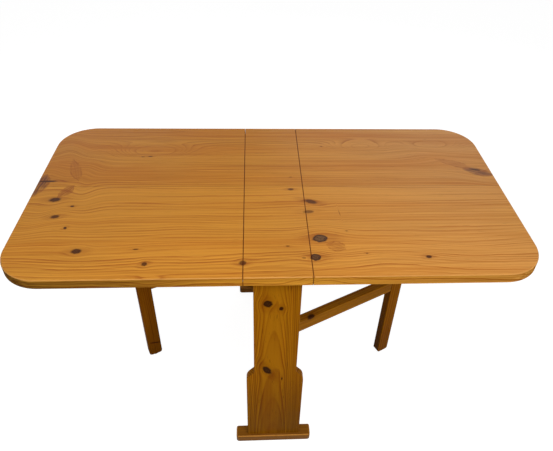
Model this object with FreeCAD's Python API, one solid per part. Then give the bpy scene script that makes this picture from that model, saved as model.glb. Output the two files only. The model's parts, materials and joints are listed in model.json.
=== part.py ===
import FreeCAD, Part
import math
import os

# Butterfly folding table in pine, open: a narrow centre leaf on two trestle boards, and two wide
# drop leaves, each held up by a gate whose leg reaches the floor.
# Millimetres. X runs along the top, Y across it, Z up. The origin is on the floor under the middle.
# The left side is the right side after half a turn about Z, but its gate stands open at its own angle.

Vector = FreeCAD.Vector
UP = Vector(0, 0, 1)
DOWN = Vector(0, 0, -1)

# Top
TABLE_HEIGHT = 740.0
TOP_LENGTH = 1330.0
TOP_WIDTH = 700.0
TOP_THICKNESS = 27.0
CORNER_RADIUS = 108.0
TOP_ARRIS = 3.5            # rounding of the upper edge all round
CENTRE_LEAF_WIDTH = 166.0
SEAM_GAP = 0.7             # between the centre leaf and each drop leaf
SEAM_BEVEL = 0.8           # on the arrises beside a seam

# Trestles: a shouldered board standing on a foot, one at the front and one at the back
BOARD_THICKNESS = 22.0
TRESTLE_UPPER_WIDTH = 119.0
TRESTLE_LOWER_WIDTH = 162.0
SHOULDER_TOP = 348.0       # height where the board starts to widen
SHOULDER_BOTTOM = 323.0    # height where the slope would meet the wide edge
SHOULDER_HOLLOW = 8.0      # radius at the top of the shoulder
SHOULDER_ROUND = 40.0      # radius at the foot of the shoulder
FOOT_LENGTH = 234.0
FOOT_DEPTH = 40.0
FOOT_HEIGHT = 27.0
FOOT_INSET = 6.0           # from the edge of the top
FOOT_CORNER = 9.0
FOOT_ARRIS = 5.0
EASED = 2.0                # bevel on planed edges

# Stretchers and battens that tie the trestles to each other and to the top
STRETCHER_WIDTH = 56.0
LOWER_STRETCHER_TOP = 310.0
BATTEN_LENGTH = 140.0
BATTEN_DEPTH = 28.0
BATTEN_HEIGHT = 26.0
BATTEN_END_RADIUS = 8.0    # rounding of the lower corners at its ends

# Gates: stile, two rails and leg in one plane
GATE_WIDTH = 46.0          # width of each member in the plane of the gate
GATE_THICKNESS = 27.0
GATE_REACH = 446.0         # pivot to the middle of the leg
RIGHT_OPEN_ANGLE = 27.2    # of each gate from the X axis, in degrees
LEFT_OPEN_ANGLE = 24.0
PIVOT_X = 14.0
PIVOT_Y = 196.0
LOWER_RAIL_BOTTOM = 330.0
UPPER_RAIL_TOP = 680.0
TENON_THICKNESS = 9.0
TENON_HEIGHT = 32.0
TENON_LENGTH = 20.0
GLUE_SPACE = 1.0           # at the bottom of a mortise or pin bore
LEG_FOOT_RADIUS = 11.0     # rounding of the leg's lower corners
GLIDE_HEIGHT = 6.0
GLIDE_RADIUS = 11.0
MOVING_GAP = 0.3           # between a moving piece and what it passes
STOP_LENGTH = 36.0
STOP_DEPTH = 16.0
STOP_HEIGHT = 14.0

# Gate pivots
PIVOT_PIN_RADIUS = 4.0
PIVOT_CLEARANCE = 0.05
PIVOT_PIN_GRIP = 14.0      # length held in the stretcher
PIVOT_PIN_REACH = 14.0     # length standing in the stile

# Leaf hinges: back flaps with three knuckles, screwed to the underside
HINGE_SPREAD = 170.0       # from the middle of the top to each hinge, along Y
HINGE_LENGTH = 50.0
KNUCKLES = 3
KNUCKLE_RADIUS = 3.5
KNUCKLE_GAP = 0.3
HINGE_DROP = 4.0           # from the underside to the hinge axis
FLAP_THICKNESS = 2.0
FLAP_CORNER = 3.0
FIXED_FLAP_WIDTH = 30.0
MOVING_FLAP_WIDTH = 45.0
HINGE_PIN_RADIUS = 1.75
HINGE_PIN_CLEARANCE = 0.05
FIXED_FLAP_SCREWS = ((18.0, -16.0), (18.0, 16.0))      # from the axis, from the middle of the hinge
MOVING_FLAP_SCREWS = ((36.0, -16.0), (36.0, 16.0), (24.0, 0.0))

# Fasteners: (shank radius, head radius, length)
HINGE_SCREW = (1.7, 3.4, 16.0)
FRAME_SCREW = (2.0, 4.0, 40.0)
STOP_SCREW = (2.0, 4.0, 30.0)
FOOT_SCREW = (2.5, 5.0, 50.0)
FOOT_SCREW_SINK = 6.0
DOWEL_RADIUS = 4.0
DOWEL_LENGTH = 30.0
FASTENER_SIDES = 6         # screws and dowels are faceted

# Derived places
UNDERSIDE = TABLE_HEIGHT - TOP_THICKNESS
SEAM_X = CENTRE_LEAF_WIDTH / 2 + SEAM_GAP / 2
TRESTLE_Y = TOP_WIDTH / 2 - FOOT_INSET - FOOT_DEPTH / 2
BOARD_INNER_Y = TRESTLE_Y - BOARD_THICKNESS / 2
BATTEN_INNER_Y = BOARD_INNER_Y - BATTEN_DEPTH
BATTEN_BOTTOM = UNDERSIDE - BATTEN_HEIGHT
LOWER_STRETCHER_BOTTOM = LOWER_STRETCHER_TOP - BOARD_THICKNESS
UPPER_STRETCHER_BOTTOM = UNDERSIDE - BOARD_THICKNESS
STILE_BOTTOM = LOWER_STRETCHER_TOP + MOVING_GAP
STILE_TOP = UPPER_STRETCHER_BOTTOM - MOVING_GAP
LEG_TOP = UNDERSIDE - MOVING_GAP
RAIL_START = GATE_WIDTH / 2
RAIL_END = GATE_REACH - GATE_WIDTH / 2
RAIL_BOTTOMS = {"lower": LOWER_RAIL_BOTTOM, "upper": UPPER_RAIL_TOP - GATE_WIDTH}
STRETCHER_DOWEL_X = 15.0
FOOT_DOWEL_X = 50.0
FOOT_SCREW_X = 24.0
BATTEN_SIDE_SCREW_X = 40.0
BATTEN_TOP_SCREW_X = 60.0
STRETCHER_SCREW_Y = 130.0


# Shapes used by several pieces

def block(x, y, z):
    """Box between the given pairs of limits."""
    return Part.makeBox(x[1] - x[0], y[1] - y[0], z[1] - z[0], Vector(x[0], y[0], z[0]))


def edges_along(shape, axis):
    """Straight edges that run along the axis."""
    straight = [edge for edge in shape.Edges if edge.Curve.TypeId == "Part::GeomLine"]
    return [edge for edge in straight if abs(edge.tangentAt(edge.FirstParameter).dot(axis)) > 0.999]


def edges_at_height(shape, height):
    """Edges that lie level at the given height."""
    level = [edge for edge in shape.Edges if edge.BoundBox.ZLength < 1e-6]
    return [edge for edge in level if abs(edge.BoundBox.ZMin - height) < 1e-6]


def eased_block(x, y, z, axis, bevel=EASED):
    """Planed timber: a box with its long edges along the axis bevelled."""
    timber = block(x, y, z)
    return timber.makeChamfer(bevel, edges_along(timber, axis))


def cylinder(radius, length, place, direction):
    return Part.makeCylinder(radius, length, place, direction)


def half_turn(shape):
    """The same piece on the other side of the table."""
    turned_copy = shape.copy()
    turned_copy.rotate(Vector(0, 0, 0), UP, 180)
    return turned_copy


def faceted(sections, place, direction):
    """Many-sided fastener through the given (radius, distance along direction) sections."""
    rings = []
    for radius, along in sections:
        angles = [2 * math.pi * index / FASTENER_SIDES for index in range(FASTENER_SIDES)]
        rings.append([Vector(radius * math.cos(a), radius * math.sin(a), along) for a in angles])
    faces = [rings[0], rings[-1]]
    for near, far in zip(rings, rings[1:]):
        for index in range(FASTENER_SIDES):
            faces.append([near[index - 1], near[index], far[index], far[index - 1]])
    closed = [Part.Face(Part.makePolygon(corners + corners[:1])) for corners in faces]
    shell = Part.makeShell(closed)
    shell.sewShape()
    solid = Part.makeSolid(shell)
    if solid.Volume < 0:
        solid.reverse()
    solid.Placement = FreeCAD.Placement(place, FreeCAD.Rotation(UP, direction))
    return solid


def screw(size, place, direction):
    """Countersunk screw with its head flush at place."""
    shank, head, length = size
    sections = [(head, 0), (shank, head - shank), (shank, length - 2 * shank), (shank / 4, length)]
    return faceted(sections, place, direction)


def dowel(middle, direction):
    """Glued dowel, centred on middle."""
    half = DOWEL_LENGTH / 2
    return faceted([(DOWEL_RADIUS, -half), (DOWEL_RADIUS, half)], middle, direction)


# Top

def top_panel():
    """The whole top before it is cut into leaves."""
    x, y, r = TOP_LENGTH / 2, TOP_WIDTH / 2, CORNER_RADIUS
    edges = []
    for turn in range(4):
        across = (x, y) if turn % 2 == 0 else (y, x)
        corner = Vector(across[0] - r, across[1] - r, 0)
        arc = Part.makeCircle(r, corner, UP, 0, 90)
        side = Part.makeLine(Vector(across[0], r - across[1], 0), Vector(across[0], across[1] - r, 0))
        for edge in (side, arc):
            edge.rotate(Vector(0, 0, 0), UP, 90 * turn)
            edges.append(edge)
    outline = Part.Wire(Part.__sortEdges__(edges))
    panel = Part.Face(outline).extrude(UP * TOP_THICKNESS)
    panel.translate(UP * UNDERSIDE)
    return panel.makeFillet(TOP_ARRIS, edges_at_height(panel, TABLE_HEIGHT))


def seam_bevels(x):
    """Square bars on edge that take the sharp corners off both arrises of a sawn edge at x."""
    side = SEAM_BEVEL * math.sqrt(2)
    bars = []
    for z in (UNDERSIDE, TABLE_HEIGHT):
        bar = Part.makeBox(side, TOP_WIDTH, side, Vector(-side / 2, -TOP_WIDTH / 2, -side / 2))
        bar.rotate(Vector(0, 0, 0), Vector(0, 1, 0), 45)
        bar.translate(Vector(x, 0, z))
        bars.append(bar)
    return Part.makeCompound(bars)


def leaf_between(panel, x_low, x_high, sawn_edges):
    reach = TOP_WIDTH
    leaf = panel.common(block((x_low, x_high), (-reach, reach), (0, TABLE_HEIGHT + 1)))
    for x in sawn_edges:
        leaf = leaf.cut(seam_bevels(x))
    return leaf


# Trestles, made for the back (positive Y); the front one is the same after half a turn

def trestle_board():
    """Shouldered board, narrow above and wide below, with flowing shoulders."""
    upper, lower = TRESTLE_UPPER_WIDTH / 2, TRESTLE_LOWER_WIDTH / 2
    slope = math.atan2(lower - upper, SHOULDER_TOP - SHOULDER_BOTTOM)
    along = Vector(math.sin(slope), 0, -math.cos(slope))
    hollow_run = SHOULDER_HOLLOW * math.tan(slope / 2)
    round_run = SHOULDER_ROUND * math.tan(slope / 2)
    top_bend = Vector(upper, 0, SHOULDER_TOP)
    low_bend = Vector(lower, 0, SHOULDER_BOTTOM)
    hollow_from = top_bend + UP * hollow_run
    hollow_to = top_bend + along * hollow_run
    round_from = low_bend - along * round_run
    round_to = low_bend + DOWN * round_run
    hollow_depth = SHOULDER_HOLLOW * (1 / math.cos(slope / 2) - 1)
    round_depth = SHOULDER_ROUND * (1 / math.cos(slope / 2) - 1)
    outwards = Vector(math.cos(slope / 2), 0, math.sin(slope / 2))
    hollow_middle = top_bend + outwards * hollow_depth
    round_middle = low_bend - outwards * round_depth
    right_side = [
        Part.makeLine(Vector(upper, 0, UNDERSIDE), hollow_from),
        Part.Arc(hollow_from, hollow_middle, hollow_to).toShape(),
        Part.makeLine(hollow_to, round_from),
        Part.Arc(round_from, round_middle, round_to).toShape(),
        Part.makeLine(round_to, Vector(lower, 0, FOOT_HEIGHT)),
    ]
    left_side = [edge.mirror(Vector(0, 0, 0), Vector(1, 0, 0)) for edge in right_side]
    top_edge = Part.makeLine(Vector(-upper, 0, UNDERSIDE), Vector(upper, 0, UNDERSIDE))
    low_edge = Part.makeLine(Vector(-lower, 0, FOOT_HEIGHT), Vector(lower, 0, FOOT_HEIGHT))
    outline = Part.Wire(Part.__sortEdges__(right_side + left_side + [top_edge, low_edge]))
    board = Part.Face(outline).extrude(Vector(0, BOARD_THICKNESS, 0))
    board.translate(Vector(0, BOARD_INNER_Y, 0))
    return board


def rounded_profile(half_width, height, radius):
    """Upright outline on the XZ plane with its two upper corners rounded."""
    inner = half_width - radius
    low = height - radius
    bend = radius * math.sqrt(0.5)
    edges = [Part.makeLine(Vector(-half_width, 0, 0), Vector(half_width, 0, 0))]
    edges.append(Part.makeLine(Vector(-inner, 0, height), Vector(inner, 0, height)))
    for side in (-1, 1):
        edges.append(Part.makeLine(Vector(side * half_width, 0, 0), Vector(side * half_width, 0, low)))
        middle = Vector(side * (inner + bend), 0, low + bend)
        arc = Part.Arc(Vector(side * half_width, 0, low), middle, Vector(side * inner, 0, height))
        edges.append(arc.toShape())
    return Part.Face(Part.Wire(Part.__sortEdges__(edges)))


def foot():
    """Foot block with rounded upright corners and a rounded upper edge."""
    half, reach = FOOT_LENGTH / 2, FOOT_DEPTH / 2
    timber = block((-half, half), (-reach, reach), (0, FOOT_HEIGHT))
    timber = timber.makeFillet(FOOT_CORNER, edges_along(timber, UP))
    along = rounded_profile(half, FOOT_HEIGHT, FOOT_ARRIS).extrude(Vector(0, FOOT_LENGTH, 0))
    along.translate(Vector(0, -half, 0))
    across = rounded_profile(reach, FOOT_HEIGHT, FOOT_ARRIS).extrude(Vector(0, FOOT_LENGTH, 0))
    across.translate(Vector(0, -half, 0))
    across.rotate(Vector(0, 0, 0), UP, 90)
    timber = timber.common(along).common(across)
    timber.translate(Vector(0, TRESTLE_Y, 0))
    return timber


def low_corners_rounded(timber, outline, radius):
    """Timber with the lower corners of its ends rounded, seen along Y, outline being its plain box."""
    level = outline.BoundBox.Center.z
    corners = [e for e in edges_along(outline, Vector(0, 1, 0)) if e.BoundBox.ZMax < level]
    return timber.common(outline.makeFillet(radius, corners))


def top_batten():
    x = (-BATTEN_LENGTH / 2, BATTEN_LENGTH / 2)
    y = (BATTEN_INNER_Y, BOARD_INNER_Y)
    z = (BATTEN_BOTTOM, UNDERSIDE)
    return low_corners_rounded(eased_block(x, y, z, Vector(1, 0, 0)), block(x, y, z), BATTEN_END_RADIUS)


def stretcher(z_low, y_reach):
    half = STRETCHER_WIDTH / 2
    z = (z_low, z_low + BOARD_THICKNESS)
    return eased_block((-half, half), (-y_reach, y_reach), z, Vector(0, 1, 0))


# Fasteners of the fixed frame

def both_ways(one_way):
    """The fasteners of one end or side, with their half-turned copies at the other."""
    return Part.makeCompound(one_way + [half_turn(piece) for piece in one_way])


def foot_dowels():
    return [dowel(Vector(x, TRESTLE_Y, FOOT_HEIGHT), UP) for x in (-FOOT_DOWEL_X, FOOT_DOWEL_X)]


def foot_screws():
    places = [Vector(x, TRESTLE_Y, FOOT_SCREW_SINK) for x in (-FOOT_SCREW_X, FOOT_SCREW_X)]
    return [screw(FOOT_SCREW, place, UP) for place in places]


def foot_screw_recesses():
    """Counterbores that the foot screws' heads are sunk in."""
    radius = FOOT_SCREW[1]
    places = [Vector(x, TRESTLE_Y, 0) for x in (-FOOT_SCREW_X, FOOT_SCREW_X)]
    return [faceted([(radius, 0), (radius, FOOT_SCREW_SINK)], place, UP) for place in places]


def stretcher_dowels():
    """From the lower stretcher into the board and from the upper stretcher into the batten."""
    low = LOWER_STRETCHER_BOTTOM + BOARD_THICKNESS / 2
    high = UPPER_STRETCHER_BOTTOM + BOARD_THICKNESS / 2
    pieces = []
    for x in (-STRETCHER_DOWEL_X, STRETCHER_DOWEL_X):
        pieces.append(dowel(Vector(x, BOARD_INNER_Y, low), Vector(0, 1, 0)))
        pieces.append(dowel(Vector(x, BATTEN_INNER_Y, high), Vector(0, 1, 0)))
    return pieces


def batten_screws():
    """Through the batten into the trestle board."""
    height = UPPER_STRETCHER_BOTTOM + BOARD_THICKNESS / 2
    places = [Vector(x, BATTEN_INNER_Y, height) for x in (-BATTEN_SIDE_SCREW_X, BATTEN_SIDE_SCREW_X)]
    return [screw(FRAME_SCREW, place, Vector(0, 1, 0)) for place in places]


def top_screws():
    """Up through the batten and the upper stretcher into the centre leaf."""
    middle = (BATTEN_INNER_Y + BOARD_INNER_Y) / 2
    heads = [Vector(side * BATTEN_TOP_SCREW_X, middle, BATTEN_BOTTOM) for side in (-1, 1)]
    heads.append(Vector(0, STRETCHER_SCREW_Y, UPPER_STRETCHER_BOTTOM))
    return [screw(FRAME_SCREW, head, UP) for head in heads]


# Gate, made along X with the pivot axis on Z, then swung out and moved to its place

def swung_out(shape, angle):
    """From the gate's own frame to the right side of the table."""
    placed = shape.copy()
    placed.rotate(Vector(0, 0, 0), UP, angle)
    placed.translate(Vector(PIVOT_X, -PIVOT_Y, 0))
    return placed


def across_gate(width=GATE_THICKNESS):
    return (-width / 2, width / 2)


def mortises(face_x, direction):
    """The two slots that a stile or leg has for the rails' tenons."""
    slots = []
    depth = TENON_LENGTH + GLUE_SPACE
    x = sorted((face_x, face_x + direction * depth))
    for bottom in RAIL_BOTTOMS.values():
        low = bottom + (GATE_WIDTH - TENON_HEIGHT) / 2
        slots.append(block(x, across_gate(TENON_THICKNESS), (low, low + TENON_HEIGHT)))
    return Part.makeCompound(slots)


def gate_stile():
    half = GATE_WIDTH / 2
    post = eased_block((-half, half), across_gate(), (STILE_BOTTOM, STILE_TOP), UP)
    bore = PIVOT_PIN_RADIUS + PIVOT_CLEARANCE
    depth = PIVOT_PIN_REACH + GLUE_SPACE
    low_bore = cylinder(bore, depth, UP * STILE_BOTTOM, UP)
    high_bore = cylinder(bore, depth, UP * STILE_TOP, DOWN)
    return post.cut([low_bore, high_bore, mortises(half, -1)])


def gate_rail(which):
    bottom = RAIL_BOTTOMS[which]
    z = (bottom, bottom + GATE_WIDTH)
    rail = eased_block((RAIL_START, RAIL_END), across_gate(), z, Vector(1, 0, 0))
    tenon_low = bottom + (GATE_WIDTH - TENON_HEIGHT) / 2
    ends = (RAIL_START - TENON_LENGTH, RAIL_END + TENON_LENGTH)
    tenon = block(ends, across_gate(TENON_THICKNESS), (tenon_low, tenon_low + TENON_HEIGHT))
    return rail.fuse(tenon).removeSplitter()


def gate_leg():
    """Leg with big rounded corners at the floor, mortised for the rails."""
    half = GATE_WIDTH / 2
    x = (GATE_REACH - half, GATE_REACH + half)
    z = (GLIDE_HEIGHT, LEG_TOP)
    outline = block(x, across_gate(), z)
    leg = low_corners_rounded(eased_block(x, across_gate(), z, UP), outline, LEG_FOOT_RADIUS)
    return leg.cut(mortises(RAIL_END, 1))


def gate_glide():
    """Round plastic glide nailed under the leg."""
    return cylinder(GLIDE_RADIUS, GLIDE_HEIGHT, Vector(GATE_REACH, 0, 0), UP)


def pivot_pins():
    """Steel pins held in the stretchers, standing into the stile from below and above."""
    length = PIVOT_PIN_GRIP + PIVOT_PIN_REACH
    lower = cylinder(PIVOT_PIN_RADIUS, length, UP * (LOWER_STRETCHER_TOP - PIVOT_PIN_GRIP), UP)
    upper = cylinder(PIVOT_PIN_RADIUS, length, UP * (UPPER_STRETCHER_BOTTOM + PIVOT_PIN_GRIP), DOWN)
    return [lower, upper]


def gate_stop():
    """Block under the leaf that the front of the leg comes to rest against."""
    front = -GATE_THICKNESS / 2 - MOVING_GAP
    x = (GATE_REACH - STOP_LENGTH / 2, GATE_REACH + STOP_LENGTH / 2)
    y = (front - STOP_DEPTH, front)
    return eased_block(x, y, (UNDERSIDE - STOP_HEIGHT, UNDERSIDE), UP)


def gate_stop_screws():
    x = (GATE_REACH - STOP_LENGTH / 4, GATE_REACH + STOP_LENGTH / 4)
    y = -GATE_THICKNESS / 2 - MOVING_GAP - STOP_DEPTH / 2
    return [screw(STOP_SCREW, Vector(each, y, UNDERSIDE - STOP_HEIGHT), UP) for each in x]


# Hinge, made with its axis on Y and the fixed flap towards negative X, then moved to the right seam

def hinge_place(end):
    return Vector(SEAM_X, end * HINGE_SPREAD, UNDERSIDE - HINGE_DROP)


def knuckle_spans(first):
    """Y limits of every second knuckle, starting with the given one."""
    pitch = HINGE_LENGTH / KNUCKLES
    spans = []
    for index in range(first, KNUCKLES, 2):
        low = -HINGE_LENGTH / 2 + index * pitch
        spans.append((low + KNUCKLE_GAP / 2, low + pitch - KNUCKLE_GAP / 2))
    return spans


def flap_screws(side, places):
    """Screws up through a flap into the leaf above it."""
    head_height = HINGE_DROP - FLAP_THICKNESS
    return [screw(HINGE_SCREW, Vector(side * x, y, head_height), UP) for x, y in places]


def hinge_flap(side, width, first_knuckle, screw_places):
    """Flat flap with rolled knuckles, cut back to clear the other flap's knuckles."""
    half = HINGE_LENGTH / 2
    z = (HINGE_DROP - FLAP_THICKNESS, HINGE_DROP)
    plate = block(sorted((0, side * width)), (-half, half), z)
    outer_corners = [e for e in edges_along(plate, UP) if abs(e.BoundBox.XMin) > 1]
    plate = plate.makeChamfer(FLAP_CORNER, outer_corners)
    reach = KNUCKLE_RADIUS + 2 * KNUCKLE_GAP
    for low, high in knuckle_spans(1 - first_knuckle):
        y = (low - KNUCKLE_GAP, high + KNUCKLE_GAP)
        plate = plate.cut(block(sorted((0, side * reach)), y, z))
    along = Vector(0, 1, 0)
    for low, high in knuckle_spans(first_knuckle):
        plate = plate.fuse(cylinder(KNUCKLE_RADIUS, high - low, along * low, along))
    bore = HINGE_PIN_RADIUS + HINGE_PIN_CLEARANCE
    plate = plate.cut(cylinder(bore, 2 * HINGE_LENGTH, along * -HINGE_LENGTH, along))
    return plate.cut(flap_screws(side, screw_places)).removeSplitter()


def hinge_pin():
    return cylinder(HINGE_PIN_RADIUS, HINGE_LENGTH, Vector(0, -HINGE_LENGTH / 2, 0), Vector(0, 1, 0))


def moved(shape, place):
    placed = shape.copy()
    placed.translate(place)
    return placed


# The whole table

def turned_name(name):
    """Name of the piece that a right-hand piece becomes after half a turn."""
    words = {"right": "left", "front": "rear", "rear": "front"}
    return "_".join(words.get(word, word) for word in name.split("_"))


def gate_pieces():
    """One gate and its stop, in the gate's own frame."""
    pieces = {"stile": gate_stile(), "leg": gate_leg(), "glide": gate_glide(), "stop": gate_stop()}
    for which in RAIL_BOTTOMS:
        pieces[which + "_rail"] = gate_rail(which)
    return pieces


def table():
    """Every piece by name."""
    pieces = {}

    fixed_screws = []
    moving_screws = []
    for end_name, end in (("front", -1), ("rear", 1)):
        place = hinge_place(end)
        flap = hinge_flap(-1, FIXED_FLAP_WIDTH, 1, FIXED_FLAP_SCREWS)
        pieces["right_%s_hinge_fixed_flap" % end_name] = moved(flap, place)
        flap = hinge_flap(1, MOVING_FLAP_WIDTH, 0, MOVING_FLAP_SCREWS)
        pieces["right_%s_hinge_moving_flap" % end_name] = moved(flap, place)
        pieces["right_%s_hinge_pin" % end_name] = moved(hinge_pin(), place)
        fixed_screws += [moved(piece, place) for piece in flap_screws(-1, FIXED_FLAP_SCREWS)]
        moving_screws += [moved(piece, place) for piece in flap_screws(1, MOVING_FLAP_SCREWS)]

    panel = top_panel()
    leaf_edge = CENTRE_LEAF_WIDTH / 2 + SEAM_GAP
    pieces["right_leaf"] = leaf_between(panel, leaf_edge, TOP_LENGTH, [leaf_edge])

    for name in list(pieces):
        pieces[turned_name(name)] = half_turn(pieces[name])

    for name, piece in gate_pieces().items():
        pieces["right_gate_" + name] = swung_out(piece, RIGHT_OPEN_ANGLE)
        pieces["left_gate_" + name] = half_turn(swung_out(piece, LEFT_OPEN_ANGLE))
    right_screws = moving_screws + [swung_out(s, RIGHT_OPEN_ANGLE) for s in gate_stop_screws()]
    left_screws = moving_screws + [swung_out(s, LEFT_OPEN_ANGLE) for s in gate_stop_screws()]
    pieces["right_leaf_screws"] = Part.makeCompound(right_screws)
    pieces["left_leaf_screws"] = half_turn(Part.makeCompound(left_screws))

    pieces["centre_leaf_hinge_screws"] = both_ways(fixed_screws)
    pieces["foot_dowels"] = both_ways(foot_dowels())
    pieces["foot_screws"] = both_ways(foot_screws())
    pieces["stretcher_dowels"] = both_ways(stretcher_dowels())
    pieces["batten_screws"] = both_ways(batten_screws())
    pieces["top_screws"] = both_ways(top_screws())

    half_leaf = CENTRE_LEAF_WIDTH / 2
    pieces["centre_leaf"] = leaf_between(panel, -half_leaf, half_leaf, [-half_leaf, half_leaf])

    pieces["gate_pivot_pins"] = both_ways([swung_out(pin, RIGHT_OPEN_ANGLE) for pin in pivot_pins()])
    board = trestle_board().cut([pieces["foot_dowels"], pieces["stretcher_dowels"]])
    foot_block = foot().cut([pieces["foot_dowels"], pieces["foot_screws"]] + foot_screw_recesses())
    held = ("stretcher_dowels", "batten_screws", "top_screws")
    batten = top_batten().cut([pieces[name] for name in held])
    for name, piece in (("trestle_board", board), ("foot", foot_block), ("top_batten", batten)):
        pieces["rear_" + name] = piece
        pieces["front_" + name] = half_turn(piece)

    lower = stretcher(LOWER_STRETCHER_BOTTOM, BOARD_INNER_Y)
    pieces["lower_stretcher"] = lower.cut([pieces["stretcher_dowels"], pieces["gate_pivot_pins"]])
    upper = stretcher(UPPER_STRETCHER_BOTTOM, BATTEN_INNER_Y)
    held = ("stretcher_dowels", "gate_pivot_pins", "top_screws")
    pieces["upper_stretcher"] = upper.cut([pieces[name] for name in held])
    return pieces


def main():
    os.makedirs("parts", exist_ok=True)
    for name, shape in sorted(table().items()):
        if not shape.isValid():
            print("not valid:", name)
        shape.exportStep("parts/%s.step" % name)


main()
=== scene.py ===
import json
import math

import bmesh
import bpy
from mathutils import Matrix, Vector

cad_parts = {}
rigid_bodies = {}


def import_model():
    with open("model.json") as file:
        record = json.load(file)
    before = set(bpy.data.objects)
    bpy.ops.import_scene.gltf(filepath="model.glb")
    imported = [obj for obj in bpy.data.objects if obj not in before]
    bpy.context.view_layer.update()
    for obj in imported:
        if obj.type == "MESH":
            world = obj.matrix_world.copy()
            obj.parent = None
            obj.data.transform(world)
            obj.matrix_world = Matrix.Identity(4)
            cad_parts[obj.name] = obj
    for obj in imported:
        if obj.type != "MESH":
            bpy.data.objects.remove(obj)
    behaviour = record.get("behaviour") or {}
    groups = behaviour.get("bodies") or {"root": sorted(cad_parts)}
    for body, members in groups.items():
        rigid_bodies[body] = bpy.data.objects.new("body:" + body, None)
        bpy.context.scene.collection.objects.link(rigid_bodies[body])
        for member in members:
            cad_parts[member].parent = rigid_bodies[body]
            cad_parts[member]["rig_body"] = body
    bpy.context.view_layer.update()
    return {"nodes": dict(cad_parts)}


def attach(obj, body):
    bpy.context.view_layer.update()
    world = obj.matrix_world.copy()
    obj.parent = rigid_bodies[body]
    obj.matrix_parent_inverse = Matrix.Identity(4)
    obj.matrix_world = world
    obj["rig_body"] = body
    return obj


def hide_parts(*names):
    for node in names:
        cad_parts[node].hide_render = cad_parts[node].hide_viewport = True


# Butterfly folding table in lacquered knotty pine, standing open.
# Metres, in the frame of the CAD model: X along the top, Y across it, Z up.

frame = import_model()
nodes = frame["nodes"]

X_AXIS = Vector((1, 0, 0))
Y_AXIS = Vector((0, 1, 0))
Z_AXIS = Vector((0, 0, 1))


# Node trees

# The inputs and the output of a Mix node that belong to a kind of value
MIX_SOCKETS = {"FLOAT": (2, 3, 0), "VECTOR": (4, 5, 1), "RGBA": (6, 7, 2)}


class Shader:
    """Shorthand for building one node tree. A value may be a socket or a plain number or tuple."""

    def __init__(self, tree):
        self.tree = tree

    def node(self, kind, inputs=(), **settings):
        """New node with its settings, and its inputs fed by name or number."""
        made = self.tree.nodes.new(kind)
        for key, value in settings.items():
            setattr(made, key, value)
        for key, value in dict(inputs).items():
            self.feed(made.inputs[key], value)
        return made

    def feed(self, socket, value):
        """Links a socket to an input, or sets the input's own value."""
        if isinstance(value, bpy.types.NodeSocket):
            self.tree.links.new(value, socket)
        else:
            socket.default_value = value

    def math(self, operation, *values, clamp=False):
        made = self.node("ShaderNodeMath", enumerate(values), operation=operation, use_clamp=clamp)
        return made.outputs[0]

    def product(self, first, *others):
        for other in others:
            first = self.math("MULTIPLY", first, other)
        return first

    def total(self, base, *terms):
        """Base plus each value times its weight."""
        for value, weight in terms:
            base = self.math("MULTIPLY_ADD", value, weight, base)
        return base

    def vector(self, operation, *values):
        made = self.node("ShaderNodeVectorMath", enumerate(values), operation=operation)
        return made.outputs["Value" if operation in ("DOT_PRODUCT", "LENGTH") else "Vector"]

    def combine(self, x, y, z):
        return self.node("ShaderNodeCombineXYZ", {"X": x, "Y": y, "Z": z}).outputs[0]

    def parts(self, vector):
        return tuple(self.node("ShaderNodeSeparateXYZ", {"Vector": vector}).outputs)

    def noise(self, vector, detail=2.0, roughness=0.5, scale=1.0):
        inputs = {"Vector": vector, "Scale": scale, "Detail": detail, "Roughness": roughness}
        return self.node("ShaderNodeTexNoise", inputs).outputs["Fac"]

    def centred_noise(self, vector, amount, **settings):
        """Noise spread evenly about nought."""
        centred = self.math("SUBTRACT", self.noise(vector, **settings), 0.5)
        return self.math("MULTIPLY", centred, 2 * amount)

    def step(self, value, low, high, out_low=0.0, out_high=1.0):
        """Smooth step from out_low at low to out_high at high, which may be below low."""
        inputs = {"Value": value, "From Min": low, "From Max": high,
                  "To Min": out_low, "To Max": out_high}
        return self.node("ShaderNodeMapRange", inputs, interpolation_type="SMOOTHSTEP").outputs[0]

    def fade(self, value, span, base=0.0):
        """Base plus the amount of a span (full, gone, amount): all of it at full, none at gone."""
        full, gone, amount = span
        return self.step(value, full, gone, base + amount, base)

    def ramp(self, value, stops):
        """Grey ramp through (place, grey) stops."""
        made = self.node("ShaderNodeValToRGB", {"Fac": value})
        elements = made.color_ramp.elements
        while len(elements) < len(stops):
            elements.new(1.0)
        for element, (place, grey) in zip(elements, stops):
            element.position = place
            element.color = (grey, grey, grey, 1)
        return made.outputs["Color"]

    def mix(self, factor, first, second, kind="RGBA", blend="MIX"):
        """Mix of two colours, or of two values of another kind."""
        first_input, second_input, output = MIX_SOCKETS[kind]
        if kind == "RGBA":
            first, second = [(*colour, 1) if isinstance(colour, tuple) else colour
                             for colour in (first, second)]
        inputs = {0: factor, first_input: first, second_input: second}
        made = self.node("ShaderNodeMix", inputs, data_type=kind, blend_type=blend)
        return made.outputs[output]


class Material(Shader):
    """Material with a Principled shader, and the object's position and normal to paint it by."""

    def __init__(self, name):
        self.material = bpy.data.materials.new(name)
        self.material.use_nodes = True
        super().__init__(self.material.node_tree)
        self.surface = self.tree.nodes["Principled BSDF"].inputs
        coordinates = self.node("ShaderNodeTexCoord").outputs
        self.position = coordinates["Object"]
        self.normal = coordinates["Normal"]

    def position_noise(self, cycles, **settings):
        """Noise with its own number of cycles per metre along X, Y and Z."""
        return self.noise(self.vector("MULTIPLY", self.position, cycles), **settings)

    def set_relief(self, height, distance, strength):
        inputs = {"Height": height, "Distance": distance, "Strength": strength}
        self.feed(self.surface["Normal"], self.node("ShaderNodeBump", inputs).outputs[0])


# Pine

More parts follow.
